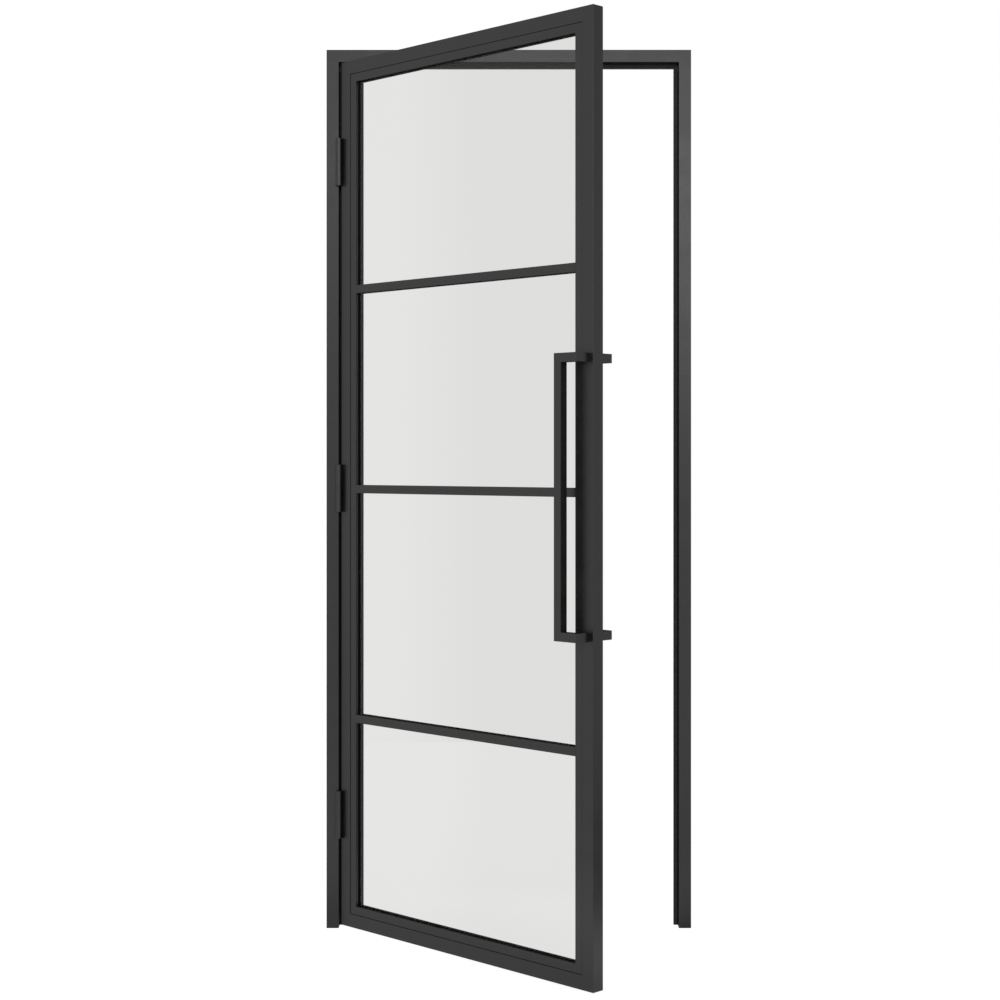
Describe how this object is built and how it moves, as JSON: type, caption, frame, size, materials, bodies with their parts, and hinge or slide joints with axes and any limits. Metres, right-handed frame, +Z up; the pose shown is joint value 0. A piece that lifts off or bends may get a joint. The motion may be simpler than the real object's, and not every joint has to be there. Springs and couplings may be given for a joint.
{
  "type": "glass door",
  "caption": "Glazed steel-look single door with slim dark stiles, horizontal glazing bars and offset bar handles, standing open in its rebated frame on lift-off hinges.",
  "frame": {"origin": "middle of the hinge jamb's foot, on the floor, half way through the frame's depth", "axes": "+X across the doorway from the hinge jamb to the strike jamb, +Y from the front, pull side to the back, +Z up"},
  "size_m": [0.896, 0.6524, 2.1585],
  "materials": {
    "frame_coat": "fine matte powder coat",
    "leaf_coat": "fine matte powder coat",
    "bead_coat": "fine matte powder coat",
    "handle_coat": "fine matte powder coat",
    "hinge_coat": "satin black coat",
    "screw_coat": "black oxide",
    "clear_glass": "clear polished",
    "glazing_tape": "matte",
    "seal_rubber": "matte",
    "bearing_plastic": "matte",
    "block_plastic": "matte",
    "bare_steel": "zinc plated"
  },
  "bodies": {
    "frame": {"hinge_jamb": "frame_coat", "strike_jamb": "frame_coat", "head": "frame_coat", "hinge_jamb_seal": "seal_rubber", "strike_jamb_seal": "seal_rubber", "head_seal": "seal_rubber", "hinge_1_frame_half": "hinge_coat", "hinge_2_frame_half": "hinge_coat", "hinge_3_frame_half": "hinge_coat", "hinge_1_pin": "bare_steel", "hinge_2_pin": "bare_steel", "hinge_3_pin": "bare_steel", "hinge_1_washer": "bearing_plastic", "hinge_2_washer": "bearing_plastic", "hinge_3_washer": "bearing_plastic", "frame_hinge_plates": "bare_steel", "frame_hinge_screws": "screw_coat"},
    "leaf": {"hinge_stile": "leaf_coat", "pull_stile": "leaf_coat", "top_rail": "leaf_coat", "bottom_rail": "leaf_coat", "glazing_bar_1": "leaf_coat", "glazing_bar_2": "leaf_coat", "glazing_bar_3": "leaf_coat", "bar_cap_1": "bead_coat", "bar_cap_2": "bead_coat", "bar_cap_3": "bead_coat", "hinge_side_bead": "bead_coat", "pull_side_bead": "bead_coat", "top_bead": "bead_coat", "bottom_bead": "bead_coat", "glass_pane_1": "clear_glass", "glass_pane_2": "clear_glass", "glass_pane_3": "clear_glass", "glass_pane_4": "clear_glass", "front_tape_1": "glazing_tape", "front_tape_2": "glazing_tape", "front_tape_3": "glazing_tape", "front_tape_4": "glazing_tape", "rear_tape_1": "glazing_tape", "rear_tape_2": "glazing_tape", "rear_tape_3": "glazing_tape", "rear_tape_4": "glazing_tape", "setting_blocks": "block_plastic", "hinge_1_leaf_half": "hinge_coat", "hinge_2_leaf_half": "hinge_coat", "hinge_3_leaf_half": "hinge_coat", "leaf_hinge_plates": "bare_steel", "leaf_hinge_screws": "screw_coat", "front_handle": "handle_coat", "rear_handle": "handle_coat", "handle_studs": "bare_steel", "handle_set_screws": "bare_steel"}
  },
  "joints": [
    {"name": "door_swing", "type": "hinge", "parent": "frame", "child": "leaf", "pos_m": [0.011, -0.02755, 1.081], "axis": [0, 0, -1], "range_deg": [-45, 125]}
  ]
}
